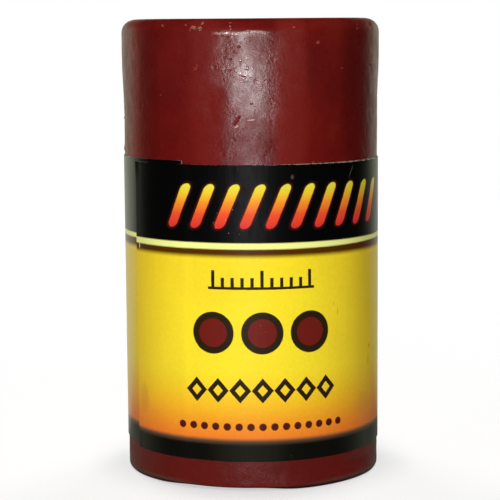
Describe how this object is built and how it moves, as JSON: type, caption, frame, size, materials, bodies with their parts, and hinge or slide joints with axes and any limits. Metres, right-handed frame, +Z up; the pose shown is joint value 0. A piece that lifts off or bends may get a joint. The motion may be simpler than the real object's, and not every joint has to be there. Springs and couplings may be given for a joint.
{
  "type": "furniture repair wax stick",
  "caption": "Short cast cylinder of red-brown furniture repair wax with rounded rims, carrying a wrapped self-adhesive label that overlaps its own start.",
  "frame": {"origin": "centre of the base that the stick stands on", "axes": "+Z up the stick's axis, from its base to its bare end; -Y is the front that the picture shows"},
  "size_m": [0.0256, 0.0256, 0.045],
  "materials": {
    "wax": "smooth cast wax with a soft gloss",
    "adhesive": "clear pressure-sensitive film",
    "label": "printed and varnished label sheet"
  },
  "bodies": {
    "root": {"wax_stick": "wax", "label_adhesive": "adhesive", "label_face": "label"}
  },
  "joints": []
}
